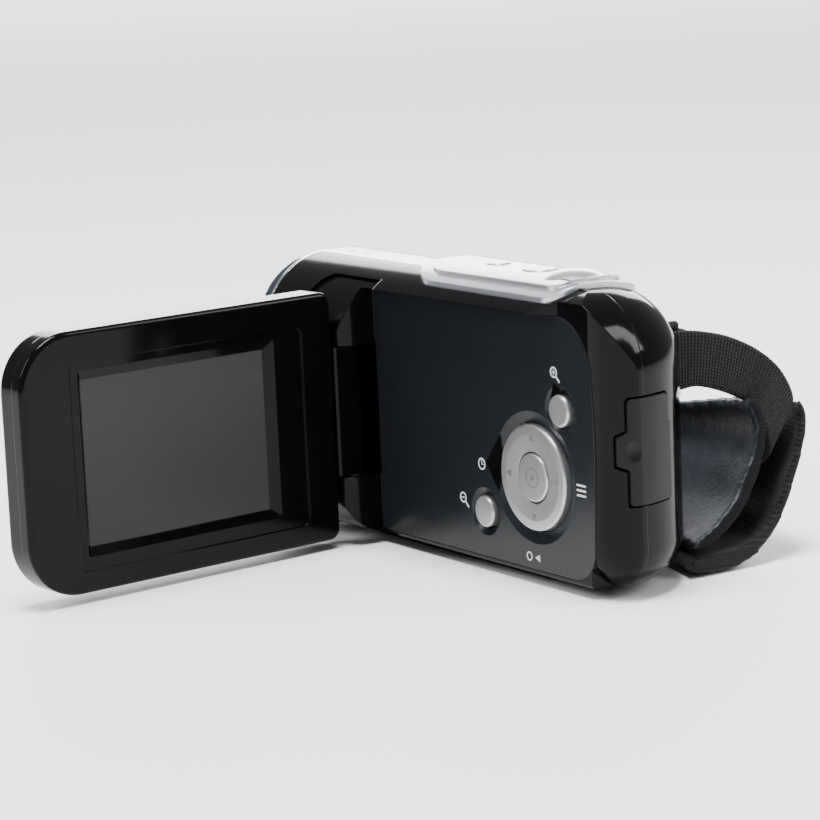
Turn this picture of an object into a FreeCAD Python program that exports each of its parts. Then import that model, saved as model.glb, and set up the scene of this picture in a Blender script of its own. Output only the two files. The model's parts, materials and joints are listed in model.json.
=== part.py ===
import FreeCAD, Part
import math
import os
from FreeCAD import Vector as V

# Pocket camcorder with a fold-out screen.  Millimetres.
# +Z is up, the lens looks along -Y, the screen folds out on the +X side.
# The origin is the mouth of the tripod socket, in the middle of the flat base.

# ---------------------------------------------------------------- body shells
HALF_WIDTH = 17.4
BODY_HEIGHT = 53.6
BASE_Z = 1.8                          # underside of the body, above a low foot
SHELL_FRONT_Y = -46.0
REAR_Y = 52.5
TOP_LEFT_R = 15.4
TOP_RIGHT_R = 14.0
BOTTOM_LEFT_R = 8.5
BOTTOM_RIGHT_R = 7.0
CORNER_R = 22.0                       # rear right corner, seen from above
LEFT_CORNER_R = 7.0                   # rear left corner, seen from above
PIVOT_X = CORNER_R - HALF_WIDTH       # centre of that corner
PIVOT_Y = REAR_Y - CORNER_R
WALL = 1.6
FLOOR_T = 1.8                         # wall behind the control plate and under the pocket
SEAM_X = 1.8                          # joint between the left and right shells
CAP_FRONT_Y = 39.0                    # the top cover ends here
FOOT_X = (-14.6, 5.4)                 # the foot holds the tripod socket and the battery door
FOOT_Y = (-30.0, 29.6)
FOOT_R = 3.0
FOOT_EDGE_R = 0.9

# ---------------------------------------------------------------- side pocket
POCKET_X = 9.0                        # face of the control plate
POCKET_FRONT_Y = -20.0
POCKET_TOP_Z = 49.6
LIP_END_Y = 38.0
PLATE_T = 1.0
PLATE_BOTTOM_Z = 2.9
PLATE_REAR_Y = 47.4
PLATE_BOW = 1.1

# ---------------------------------------------------------------- front
TRIM_T = 0.8
RING_DEPTH = 4.2
RING_WALL = 3.4
LENS_X = 0.0
LENS_Z = 33.0
BARREL_R = 12.0
BARREL_BORE_R = 10.4
BARREL_FRONT_Y = -55.0
GLASS_R = 8.6

# ---------------------------------------------------------------- hinge and screen
HINGE_X = 12.1
HINGE_Y = -24.9
OPEN_ANGLE = 5.4                      # the screen stands this far short of square
EAR_LOW_Z = 13.4
EAR_HIGH_Z = 38.7
PIN_R = 1.5
PIN_LENGTH = 6.2
PIN_GRIP = 3.0                        # each pin is held this deep in its ear
RUNNING_FIT = 0.05
EAR_STEP = 0.6
EAR_EDGE_R = 3.4
SCREEN_MID_Z = 25.5
SCREEN_HEIGHT = 47.5
SCREEN_NEAR = 5.7                     # from the hinge axis to the panel's near end
SCREEN_FAR = 74.9
SCREEN_FACE = 2.7                     # display face, from the hinge axis
SCREEN_T = 7.4
SCREEN_MID = SCREEN_FACE - SCREEN_T / 2
DISPLAY_MID = 41.6
DISPLAY_MID_Z = 25.1
DISPLAY_W = 40.3
DISPLAY_H = 30.2
RECESS_MID = 40.9                     # foot of the bevel round the display
RECESS_W = 43.4
RECESS_H = 33.7
RECESS_DEPTH = 0.8
TRAY_MID = 38.7                       # shallow step further out on the bezel
TRAY_MID_Z = 24.6
TRAY_W = 51.6
TRAY_H = 37.8
SCREEN_WALL = 1.3
SPLIT_DEPTH = 3.0                     # the bezel is this deep, the cover is the rest
SCREEN_SCREW_US = (10.5, 66.0)
SCREEN_SCREW_RISE = 18.6
SCREEN_BOSS_R = 1.7
SCREW_LENGTH = 4.6

# ---------------------------------------------------------------- controls
PAD_Y = 29.5
PAD_Z = 19.6
PAD_R = 9.6
OK_R = 4.4
ZOOM_R = 2.9
ZOOM_IN = (37.8, 32.6)
ZOOM_OUT = (14.2, 11.2)
BUTTON_GAP = 0.3
SHUTTER_Y = 21.5
SHUTTER_R = 3.0
POWER_Y = 8.6
POWER_R = 2.0
DECK_FRONT_Y = -9.0
DECK_REAR_Y = 38.6
DECK_HALF = 10.0
DECK_REAR_R = 4.2
DECK_BASE_Z = 50.6
DECK_T = 0.9

BUMP_Y = 31.0
BOARD_X = 4.0
BUTTON_FOOT_X = 5.9
FLANGE_X = 6.8
SWITCH_TOP_Z = 49.4
COVER_LEFT = 3.5
COVER_RIGHT = 11.0
MIC_X = 0.5
MIC_YS = (-40.0, -34.0)
LAMP_W = 9.0
LAMP_H = 4.6
LAMP_Z = 12.5
CELL_R = 6.4
CELL_BORE_R = 4.6
STEP_DEPTH = 0.35
SCREEN_BACK_R = 1.4
SCREEN_RIM_R = 0.9
ARM_END = 5.3
SHAFT_R = 1.9
SPEAKER_Y = -34.0
SPEAKER_Z = 17.0
BATTERY_X = -11.6
BATTERY_T = 5.6
BOARD_REAR_Y = 41.5

# ---------------------------------------------------------------- base
SOCKET_R = 2.6
SOCKET_DEPTH = 5.5
INSERT_R = 4.4
INSERT_H = 7.0
FLANGE_W = 1.0

# ---------------------------------------------------------------- strap
WEB_W = 11.0
WEB_T = 1.4
LUG_BAR_R = 0.8
LUG_X = -20.0
LUG_HALF = 6.3
LUG_REAR = (34.0, 37.6)
LUG_FRONT = (-38.0, 30.0)
SCREW_YS = (-41.0, 31.0)
SCREW_ZS = (9.0, 38.0)
DOOR_X0 = -12.0
DOOR_X1 = -5.6
DOOR_AXIS_Y = -26.0
DOOR_AXIS_Z = 1.8
DOOR_REAR_Y = 27.0
# Webbing stations: upper edge, lower edge, direction the flat faces.
WEB_REAR = [((-20.0, 35.6, 43.1), (-20.0, 35.6, 32.3), (0.0, 1.0, 0.0)),
            ((-23.9, 36.5, 42.6), (-22.9, 36.5, 32.6), (0.1, 1.0, 0.1)),
            ((-29.5, 37.5, 41.1), (-27.3, 37.5, 31.3), (0.1, 1.0, 0.2)),
            ((-35.4, 38.5, 38.1), (-31.6, 38.5, 29.2), (0.0, 1.0, 0.3)),
            ((-39.5, 39.8, 34.2), (-33.6, 39.8, 27.2), (-0.1, 1.0, 0.1)),
            ((-42.0, 40.2, 29.0), (-35.4, 40.2, 22.6), (-0.3, 1.0, -0.2)),
            ((-42.8, 37.0, 25.2), (-37.4, 37.5, 17.3), (-0.8, 0.3, -0.4)),
            ((-43.6, 28.0, 23.0), (-39.6, 28.0, 13.6), (-1.0, 0.1, -0.3))]
WEB_FRONT = [((-20.0, -36.4, 35.5), (-20.0, -36.4, 24.5), (0.0, 1.0, 0.0)),
             ((-29.0, -32.8, 33.2), (-28.0, -32.8, 22.4), (0.5, 1.0, 0.0)),
             ((-36.0, -24.0, 29.0), (-34.2, -24.0, 18.4), (1.0, 0.8, 0.0)),
             ((-40.4, -13.0, 22.6), (-38.6, -13.0, 12.0), (1.0, 0.2, -0.1)),
             ((-41.2, -4.0, 21.8), (-38.8, -4.0, 11.4), (1.0, 0.1, -0.1))]
# Pad and cover sections: inner face from the top down, then the outer face going up.
PAD_INNER = [(-29.6, 29.6), (-31.3, 26.5), (-31.0, 22.4), (-28.2, 17.6),
             (-24.2, 12.4), (-19.4, 8.6), (-14.5, 6.4)]
PAD_OUTER = [(-13.8, 4.6), (-20.4, 6.2), (-26.4, 10.4), (-30.9, 16.0),
             (-33.6, 21.6), (-34.0, 27.0), (-31.8, 30.2)]
COVER_INNER = [(-42.0, 27.6), (-42.2, 25.0), (-41.1, 21.0), (-37.2, 13.8), (-33.2, 8.2), (-28.4, 5.2),
               (-21.4, 4.3), (-14.4, 3.6)]
COVER_OUTER = [(-12.0, 1.2), (-18.0, 0.5), (-23.9, 0.7), (-30.2, 3.2), (-34.7, 7.1), (-39.0, 13.3),
               (-42.8, 20.6), (-44.0, 25.0), (-43.0, 28.2)]
# Stations along the pad: y at the base, lean of the section, sideways shift, height factor,
# and how far the cover stands off from the pad.
PAD_STATIONS = [(46.0, -0.15, 0.0, 1.0, 1.0), (31.0, -0.12, -4.4, 0.93, 0.8),
                (14.0, -0.06, -6.4, 0.84, 0.5), (-14.0, 0.0, -4.6, 0.78, 0.4)]
COVER_HUG_X = 26.0                    # beyond this distance from the middle the cover draws in
COVER_HUG = 0.55
PAD_FLOOR_Z = 0.5

os.makedirs("parts", exist_ok=True)


# ================================================================ helpers
def xz(a, b, c=0.0):
    return V(a, c, b)


def yz(a, b, c=0.0):
    return V(c, a, b)


def xy(a, b, c=0.0):
    return V(a, b, c)


def rounded_face(points, radii, plane, level=0.0):
    """Flat polygon whose corners are rounded by the radii given, one each."""
    edges = []
    starts = []
    ends = []
    count = len(points)
    for i, (px, py) in enumerate(points):
        r = radii[i]
        if r <= 0.0:
            starts.append((px, py))
            ends.append((px, py))
            continue
        ax, ay = points[i - 1]
        bx, by = points[(i + 1) % count]
        la = math.hypot(ax - px, ay - py)
        lb = math.hypot(bx - px, by - py)
        ua = ((ax - px) / la, (ay - py) / la)
        ub = ((bx - px) / lb, (by - py) / lb)
        half = math.acos(ua[0] * ub[0] + ua[1] * ub[1]) / 2
        run = r / math.tan(half)
        first = (px + ua[0] * run, py + ua[1] * run)
        last = (px + ub[0] * run, py + ub[1] * run)
        mid = ((ua[0] + ub[0]), (ua[1] + ub[1]))
        size = math.hypot(*mid)
        reach = r / math.sin(half) - r
        apex = (px + mid[0] / size * reach, py + mid[1] / size * reach)
        starts.append(first)
        ends.append(last)
        arc = Part.Arc(plane(*first, level), plane(*apex, level), plane(*last, level))
        edges.append((i, arc.toShape()))
    arcs = dict(edges)
    wire = []
    for i in range(count):
        if i in arcs:
            wire.append(arcs[i])
        a = plane(*ends[i], level)
        b = plane(*starts[(i + 1) % count], level)
        if a.distanceToPoint(b) > 1e-6:
            wire.append(Part.makeLine(a, b))
    return Part.Face(Part.Wire(Part.__sortEdges__(wire)))


def rect_face(a0, a1, b0, b1, r, plane, level=0.0):
    return rounded_face([(a0, b0), (a1, b0), (a1, b1), (a0, b1)], [r] * 4, plane, level)


def box(x0, x1, y0, y1, z0, z1):
    return Part.makeBox(x1 - x0, y1 - y0, z1 - z0, V(x0, y0, z0))


def rod(centre, axis, radius, length):
    return Part.makeCylinder(radius, length, centre, axis)


def save(name, *shapes):
    solids = []
    for shape in shapes:
        solids.extend(shape.Solids)
    body = solids[0] if len(solids) == 1 else Part.makeCompound(solids)
    if not body.isValid():
        raise ValueError(name + " is not a valid solid")
    body.exportStep("parts/" + name + ".step")
    print("%-22s %2d solid(s) %9.1f mm3" % (name, len(solids), body.Volume))


# ================================================================ body envelope
def section_face(inset, level):
    """Front view of the body at a station along Y."""
    left = HALF_WIDTH - inset
    top = BODY_HEIGHT - inset
    base = BASE_Z + inset
    corners = [(left, base), (left, top), (-left, top), (-left, base)]
    radii = [BOTTOM_LEFT_R, TOP_LEFT_R, TOP_RIGHT_R, BOTTOM_RIGHT_R]
    return rounded_face(corners, [r - inset for r in radii], xz, level)


def left_corner(inset):
    """What the rounding of the rear left corner takes off, with a rounded foot like the other corners."""
    radius = LEFT_CORNER_R - inset
    x = POCKET_X - inset - radius
    y = REAR_Y - inset - radius
    block = box(x, 30, y, REAR_Y + 5, -5, 80)
    foot = min(BOTTOM_RIGHT_R - inset, radius - 0.1)
    base = BASE_Z + inset
    profile = rounded_face([(x, base), (x + radius, base), (x + radius, 80), (x, 80)],
                           [0, foot, 0, 0], xz, y)
    return block.cut(profile.revolve(V(x, y, 0), V(0, 0, 1), 90))


def envelope(inset, front=SHELL_FRONT_Y):
    """Outer form of the two shells, or the cavity when inset."""
    top = BODY_HEIGHT - inset
    reach = CORNER_R - inset
    main = section_face(inset, front).extrude(V(0, PIVOT_Y - front, 0))
    base = BASE_Z + inset
    half = [(0, base), (reach, base), (reach, top), (0, top)]
    radii = [0, BOTTOM_RIGHT_R - inset, TOP_RIGHT_R - inset, 0]
    mirrored = [(PIVOT_X - r, z) for r, z in half]
    turned = rounded_face(mirrored, radii, xz, PIVOT_Y)
    corner = turned.revolve(V(PIVOT_X, PIVOT_Y, 0), V(0, 0, 1), -90)
    outline = [(PIVOT_Y + r, z) for r, z in half]
    side = POCKET_X - inset
    flank = rounded_face(outline, radii, yz, PIVOT_X).extrude(V(side - PIVOT_X, 0, 0))
    plan = [(PIVOT_X, PIVOT_Y), (side, PIVOT_Y), (side, REAR_Y - inset), (PIVOT_X, REAR_Y - inset)]
    edge = [0, 0, side - PIVOT_X - 0.01, 0]
    flank = flank.common(rounded_face(plan, edge, xy, -5).extrude(V(0, 0, 90)))
    flank = flank.common(section_face(inset, PIVOT_Y).extrude(V(0, REAR_Y + 5 - PIVOT_Y, 0)))
    lip = section_face(inset, PIVOT_Y).extrude(V(0, LIP_END_Y - PIVOT_Y, 0))
    lip = lip.common(box(PIVOT_X, 40, 0, 80, -5, 80))
    taper = rounded_face([(POCKET_X, LIP_END_Y), (19, 24), (30, 24), (30, 70), (POCKET_X, 70)],
                         [0] * 5, xy, -5).extrude(V(0, 0, 90))
    joined = main.fuse([corner, flank, lip.cut(taper)])
    return joined.cut(left_corner(inset)).removeSplitter()


def pocket_solid(grow):
    """Room for the closed screen on the left side, grown by a wall thickness."""
    face_x = POCKET_X - grow
    base = BASE_Z + grow
    top = POCKET_TOP_Z + grow
    inner_x = face_x - 2 * FOOT_EDGE_R
    profile = [(face_x, top), (face_x, base), (inner_x, base), (inner_x, -6), (40, -6), (40, top)]
    radii = [0, FOOT_EDGE_R, 0, 0, 0, 0]
    block = rounded_face(profile, radii, xz, POCKET_FRONT_Y - grow)
    return block.extrude(V(0, REAR_Y + 10 - POCKET_FRONT_Y + grow, 0))


def base_foot():
    """Low foot under the body, with its lower edge rounded."""
    block = rect_face(*FOOT_X, *FOOT_Y, FOOT_R, xy, 0.0).extrude(V(0, 0, BASE_Z + WALL / 2))
    edges = [e for e in block.Edges if e.BoundBox.ZMax < 0.01]
    return block.makeFillet(FOOT_EDGE_R, edges)


def hinge_gap(grow):
    """Room between the two ears for the hinge arm."""
    return box(POCKET_X - 2.2 - grow, 40, -31.3 - grow, POCKET_FRONT_Y + 1,
               EAR_LOW_Z - grow, EAR_HIGH_Z + grow)


def ear_step():
    """Shallow step in the left flank, so the ears sit just below the surface."""
    layer = skin(0.0, EAR_STEP)
    outline = rounded_face([(-34.5, -5), (-15, -5), (-15, 51.2), (-34.5, 51.2)],
                           [0, 0, 0, 5.0], yz, 5.0)
    return layer.common(outline.extrude(V(20, 0, 0)))


def ear_rounding():
    """Takes off the rear outer edge of the ears, so the screen's near end clears it as it turns."""
    side = HALF_WIDTH - EAR_STEP
    x = side - EAR_EDGE_R
    y = POCKET_FRONT_Y - EAR_EDGE_R
    corner = box(x, side + 1, y, POCKET_FRONT_Y + 1, -1, 52)
    return corner.cut(rod(V(x, y, -1), V(0, 0, 1), EAR_EDGE_R, 53))


def shell_body():
    """Both shells as one hollow form, before it is split."""
    outer = envelope(0.0).cut(pocket_solid(0.0)).cut(ear_step())
    outer = outer.cut(ear_rounding()).cut(hinge_gap(0.0))
    hollow = envelope(WALL, SHELL_FRONT_Y - 1).cut(pocket_solid(FLOOR_T))
    hollow = hollow.cut(hinge_gap(WALL))
    block = box(POCKET_X - 4.6, 40, -35, POCKET_FRONT_Y + 1, -1, 60)
    return outer.cut(hollow.cut(block)).fuse(base_foot())


def plate_face(level):
    """Outline of the control plate: its rear edge bows out a little."""
    front = POCKET_FRONT_Y + 0.2
    top = POCKET_TOP_Z - 0.1
    rear = PLATE_REAR_Y
    ends = rear - PLATE_BOW
    points = [(front, PLATE_BOTTOM_Z), (ends, PLATE_BOTTOM_Z), (rear, 28), (ends, top), (front, top)]
    return rounded_face(points, [0.5, 6.0, 90.0, 10.0, 0.5], yz, level)


def side_hole(y, z, radius, x0=POCKET_X - 4, x1=POCKET_X + 3):
    return rod(V(x0, y, z), V(1, 0, 0), radius, x1 - x0)


def button_hollows():
    """Openings for the four side buttons, through the plate and the shell."""
    hollows = [side_hole(PAD_Y, PAD_Z, PAD_R + BUTTON_GAP)]
    for y, z in (ZOOM_IN, ZOOM_OUT):
        hollows.append(side_hole(y, z, ZOOM_R + BUTTON_GAP))
    return hollows


def dish(y, z, radius, wide):
    """Sloping rim round a button opening, cut into the face of the plate."""
    depth = PLATE_T * 0.8
    return Part.makeCone(radius, wide, depth, V(POCKET_X - depth, y, z), V(1, 0, 0))


def deck_face(margin, level):
    """Button deck seen from above: round at the front, with rounded corners at the rear."""
    half = DECK_HALF - margin
    front = DECK_FRONT_Y + margin
    rear = DECK_REAR_Y - margin
    points = [(-half, rear), (-half, front), (half, front), (half, rear)]
    rear_r = DECK_REAR_R - margin / 2
    return rounded_face(points, [rear_r, half - 0.05, half - 0.05, rear_r], xy, level)


def port_cover_face(grow, level):
    """Rubber cover on the rear face, with a finger tab on its left side."""
    g = grow
    points = [(5.2 + g, 35.8 + g), (5.2 + g, 30.0 + g), (6.8 + g, 29.2 + g), (6.8 + g, 24.2 - g),
              (5.0 + g, 23.4 - g), (5.0 + g, 17.1 - g), (-4.3 - g, 17.1 - g), (-5.0 - g, 17.9 - g),
              (-5.0 - g, 30.4), (-4.3 - g, 30.8), (-4.3 - g, 35.8 + g)]
    radii = [0.9, 0.3, 0.5, 0.5, 0.3, 0.5, 0.3, 0.3, 0.1, 0.1, 0.9]
    return rounded_face(points, radii, xz, level)


def skin(outside, inside):
    """Layer that follows the body's surface, between two offsets from it."""
    return envelope(-outside, SHELL_FRONT_Y - 0.01).cut(envelope(inside, SHELL_FRONT_Y - 1))


# ================================================================ body parts
def case_screw_places():
    return [(y, z) for y in SCREW_YS for z in SCREW_ZS]


def make_shells():
    whole = shell_body()
    cover_zone = box(-COVER_RIGHT, COVER_LEFT, SHELL_FRONT_Y - 1, CAP_FRONT_Y, 40, 60)
    cover = whole.common(cover_zone)
    rest = whole.cut(cover_zone)
    left = rest.common(box(SEAM_X, 40, -60, 70, -5, 70))
    right = rest.common(box(-40, SEAM_X, -60, 70, -5, 70))

    left = left.cut(plate_face(POCKET_X - PLATE_T).extrude(V(PLATE_T + 1, 0, 0)))
    for hollow in button_hollows():
        left = left.cut(hollow)
    socket = rod(V(0, 0, -1), V(0, 0, 1), INSERT_R, BASE_Z + WALL + 1)
    port = port_cover_face(BUTTON_GAP, 40).extrude(V(0, 20, 0))
    pins = rod(V(HINGE_X, HINGE_Y, EAR_LOW_Z - PIN_GRIP), V(0, 0, 1), PIN_R,
               EAR_HIGH_Z - EAR_LOW_Z + 2 * PIN_GRIP)
    left = left.cut(socket).cut(port).cut(pins)
    right = right.cut(socket).cut(port)

    right = right.cut(door_opening())
    for y, z in case_screw_places():
        right = right.fuse(rod(V(-HALF_WIDTH + 1, y, z), V(1, 0, 0), 2.2, 8))
    right = right.fuse(door_bosses())
    right = right.cut(door_pin())
    for y, z in case_screw_places():
        right = right.cut(rod(V(-HALF_WIDTH - 1, y, z), V(1, 0, 0), 1.5, 1.8))
        right = right.cut(rod(V(-HALF_WIDTH, y, z), V(1, 0, 0), 0.8, 7))
    for hole in speaker_holes():
        right = right.cut(hole)
    for leg in lug_legs():
        right = right.cut(leg)

    for y in MIC_YS:
        cover = cover.cut(rod(V(MIC_X, y, 45), V(0, 0, 1), 0.45, 12))
    cover = cover.cut(rod(V(0, SHUTTER_Y, 45), V(0, 0, 1), SHUTTER_R + BUTTON_GAP, 12))
    cover = cover.cut(rod(V(0, POWER_Y, 45), V(0, 0, 1), POWER_R + BUTTON_GAP, 12))
    save("left_shell", left)
    save("right_shell", right)
    save("top_cover", cover)


def door_opening():
    return box(DOOR_X0 - BUTTON_GAP, DOOR_X1 + BUTTON_GAP, DOOR_AXIS_Y - 1.3,
               DOOR_REAR_Y + BUTTON_GAP, -1, BASE_Z + WALL + 0.2)


def door_bosses():
    low = box(DOOR_X0 - 1.6, DOOR_X0 - 0.4, DOOR_AXIS_Y - 1.3, DOOR_AXIS_Y + 1.2, 1.0, 3.2)
    high = box(DOOR_X1 + 0.4, DOOR_X1 + 1.6, DOOR_AXIS_Y - 1.3, DOOR_AXIS_Y + 1.2, 1.0, 3.2)
    return [low, high]


def door_pin():
    return rod(V(DOOR_X0 - 1.4, DOOR_AXIS_Y, DOOR_AXIS_Z), V(1, 0, 0), 0.5, DOOR_X1 - DOOR_X0 + 2.8)


def make_battery_door():
    plate = box(DOOR_X0, DOOR_X1, DOOR_AXIS_Y + 2.3, DOOR_REAR_Y, 0.0, 1.2)
    neck = box(DOOR_X0 + 0.4, DOOR_X1 - 0.4, DOOR_AXIS_Y, DOOR_AXIS_Y + 2.6, 0.95, 1.55)
    knuckle = rod(V(DOOR_X0 + 0.2, DOOR_AXIS_Y, DOOR_AXIS_Z), V(1, 0, 0), 0.95, DOOR_X1 - DOOR_X0 - 0.4)
    bore = rod(V(DOOR_X0 - 1, DOOR_AXIS_Y, DOOR_AXIS_Z), V(1, 0, 0), 0.5 + RUNNING_FIT, 20)
    ribs = []
    for k in range(3):
        y = DOOR_REAR_Y - 3.0 - 1.6 * k
        ribs.append(box(DOOR_X0 + 1.2, DOOR_X1 - 1.2, y, y + 0.7, -0.2, 0.3))
    door = plate.fuse([neck, knuckle]).cut(bore)
    for rib in ribs:
        door = door.cut(rib)
    save("battery_door", door)
    save("battery_door_pin", door_pin())


def speaker_holes():
    holes = [rod(V(-HALF_WIDTH - 1, SPEAKER_Y, SPEAKER_Z), V(1, 0, 0), 0.6, 4)]
    for k in range(6):
        turn = math.radians(60 * k)
        y = SPEAKER_Y + 3.0 * math.cos(turn)
        z = SPEAKER_Z + 3.0 * math.sin(turn)
        holes.append(rod(V(-HALF_WIDTH - 1, y, z), V(1, 0, 0), 0.6, 4))
    return holes


def make_front():
    face = section_face(0.0, SHELL_FRONT_Y - TRIM_T)
    hole = section_face(RING_WALL, SHELL_FRONT_Y - TRIM_T)
    trim = face.extrude(V(0, TRIM_T, 0)).cut(hole.extrude(V(0, TRIM_T, 0)))
    save("chrome_trim", trim)

    back_y = SHELL_FRONT_Y - TRIM_T
    front_y = back_y - RING_DEPTH
    ring = section_face(0.2, front_y).extrude(V(0, RING_DEPTH, 0))
    edges = [e for e in ring.Edges if abs(e.BoundBox.YMax - front_y) < 1e-3]
    ring = ring.makeFillet(2.6, edges)
    ring = ring.cut(section_face(RING_WALL, front_y - 1).extrude(V(0, RING_DEPTH + 2, 0)))
    save("front_ring", ring)

    panel = section_face(RING_WALL, front_y + 1.0).extrude(V(0, 2.0, 0))
    panel = panel.cut(rod(V(LENS_X, front_y, LENS_Z), V(0, 1, 0), BARREL_R, 6))
    window = rect_face(-LAMP_W / 2, LAMP_W / 2, LAMP_Z - LAMP_H / 2, LAMP_Z + LAMP_H / 2,
                       1.0, xz, front_y - 1)
    panel = panel.cut(window.extrude(V(0, 6, 0)))
    save("front_panel", panel)

    lamp = rect_face(-LAMP_W / 2, LAMP_W / 2, LAMP_Z - LAMP_H / 2, LAMP_Z + LAMP_H / 2,
                     1.0, xz, front_y + 0.8)
    save("lamp_window", lamp.extrude(V(0, 1.8, 0)))
    save("lamp_led", box(-2.5, 2.5, front_y + 2.6, front_y + 3.8, LAMP_Z - 1.8, LAMP_Z + 1.8))


def lens_shape(y, radius, thick, bow):
    """Double-convex lens on the optical axis."""
    reach = (radius * radius + bow * bow) / (2 * bow)
    back = Part.makeSphere(reach, V(LENS_X, y + reach, LENS_Z))
    front = Part.makeSphere(reach, V(LENS_X, y + thick - reach, LENS_Z))
    disc = rod(V(LENS_X, y, LENS_Z), V(0, 1, 0), radius, thick)
    return disc.common(back).common(front)


def make_optics():
    axis = V(0, 1, 0)

    def at(y):
        return V(LENS_X, y, LENS_Z)

    length = SHELL_FRONT_Y - BARREL_FRONT_Y + 2.0
    barrel = rod(at(BARREL_FRONT_Y), axis, BARREL_R, length)
    rim = [e for e in barrel.Edges if abs(e.BoundBox.YMax - BARREL_FRONT_Y) < 1e-3]
    barrel = barrel.makeFillet(0.9, rim)
    barrel = barrel.cut(rod(at(BARREL_FRONT_Y - 1), axis, BARREL_BORE_R, length - 1))
    barrel = barrel.cut(rod(at(BARREL_FRONT_Y), axis, CELL_R, length + 1))
    for k in range(3):
        groove_y = BARREL_FRONT_Y + 1.6 + 0.9 * k
        groove = rod(at(groove_y), axis, BARREL_R + 1, 0.35)
        groove = groove.cut(rod(at(groove_y), axis, BARREL_R - 0.25, 0.35))
        barrel = barrel.cut(groove)
    save("lens_barrel", barrel)

    glass_y = BARREL_FRONT_Y + 0.8
    save("front_glass", rod(at(glass_y), axis, BARREL_BORE_R, 1.0))
    mask = rod(at(glass_y + 1.0), axis, BARREL_BORE_R, 3.2)
    mask = mask.cut(Part.makeCone(GLASS_R, 4.6, 3.2, at(glass_y + 1.0), axis))
    save("lens_mask", mask)

    cell_y = glass_y + 4.4
    cell = rod(at(cell_y), axis, CELL_R, 14.0).cut(rod(at(cell_y), axis, CELL_BORE_R, 14.0))
    save("lens_cell", cell)
    save("front_element", lens_shape(cell_y + 0.4, CELL_BORE_R, 2.6, 0.8))
    save("rear_element", lens_shape(cell_y + 8.2, CELL_BORE_R, 2.4, 0.8))
    sensor_y = cell_y + 14.6
    save("image_sensor", box(-3.6, 3.6, sensor_y, sensor_y + 1.0, LENS_Z - 3.0, LENS_Z + 3.0))
    save("sensor_board", box(-9, BOARD_X, sensor_y + 1.0, sensor_y + 2.2, LENS_Z - 9, LENS_Z + 9))


def make_plate_and_buttons():
    plate = plate_face(POCKET_X - PLATE_T).extrude(V(PLATE_T, 0, 0))
    for hollow in button_hollows():
        plate = plate.cut(hollow)
    plate = plate.cut(dish(PAD_Y, PAD_Z, PAD_R + BUTTON_GAP, PAD_R + 2.4))
    for y, z in (ZOOM_IN, ZOOM_OUT):
        plate = plate.cut(dish(y, z, ZOOM_R + BUTTON_GAP, ZOOM_R + 1.5))
    save("control_plate", plate)

    ring = side_hole(PAD_Y, PAD_Z, PAD_R, BUTTON_FOOT_X, POCKET_X + 0.5)
    edges = [e for e in ring.Edges if e.BoundBox.XMin > POCKET_X]
    ring = ring.makeFillet(0.45, edges)
    ring = ring.fuse(side_hole(PAD_Y, PAD_Z, PAD_R + 1.1, BUTTON_FOOT_X, FLANGE_X))
    ring = ring.cut(side_hole(PAD_Y, PAD_Z, OK_R + BUTTON_GAP))
    ring = ring.cut(side_hole(PAD_Y, PAD_Z, OK_R + 1.2, BUTTON_FOOT_X - 1, FLANGE_X))
    bowl = Part.makeCone(OK_R + 0.4, PAD_R - 1.6, 0.3, V(POCKET_X + 0.22, PAD_Y, PAD_Z), V(1, 0, 0))
    save("direction_pad", ring.cut(bowl))

    ok = side_hole(PAD_Y, PAD_Z, OK_R, BUTTON_FOOT_X, POCKET_X + 0.5)
    edges = [e for e in ok.Edges if e.BoundBox.XMin > POCKET_X]
    ok = ok.makeFillet(0.4, edges)
    save("ok_button", ok.fuse(side_hole(PAD_Y, PAD_Z, OK_R + 0.8, BUTTON_FOOT_X, BUTTON_FOOT_X + 0.4)))
    for name, (y, z) in (("zoom_in_button", ZOOM_IN), ("zoom_out_button", ZOOM_OUT)):
        cap = side_hole(y, z, ZOOM_R, BUTTON_FOOT_X, POCKET_X + 0.5)
        edges = [e for e in cap.Edges if e.BoundBox.XMin > POCKET_X]
        cap = cap.makeFillet(0.45, edges)
        save(name, cap.fuse(side_hole(y, z, ZOOM_R + 0.9, BUTTON_FOOT_X, FLANGE_X)))

    board_x = BOARD_X
    board = rect_face(5, 43, 4.5, 41, 1.5, yz, board_x)
    save("keypad_board", board.extrude(V(1.0, 0, 0)))
    spots = [(PAD_Y, PAD_Z), ZOOM_IN, ZOOM_OUT]
    for k in range(4):
        turn = math.pi / 2 * k
        spots.append((PAD_Y + 7.2 * math.cos(turn), PAD_Z + 7.2 * math.sin(turn)))
    domes = [side_hole(y, z, 1.5, board_x + 1.0, board_x + 1.5) for y, z in spots]
    save("key_domes", *domes)


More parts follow.
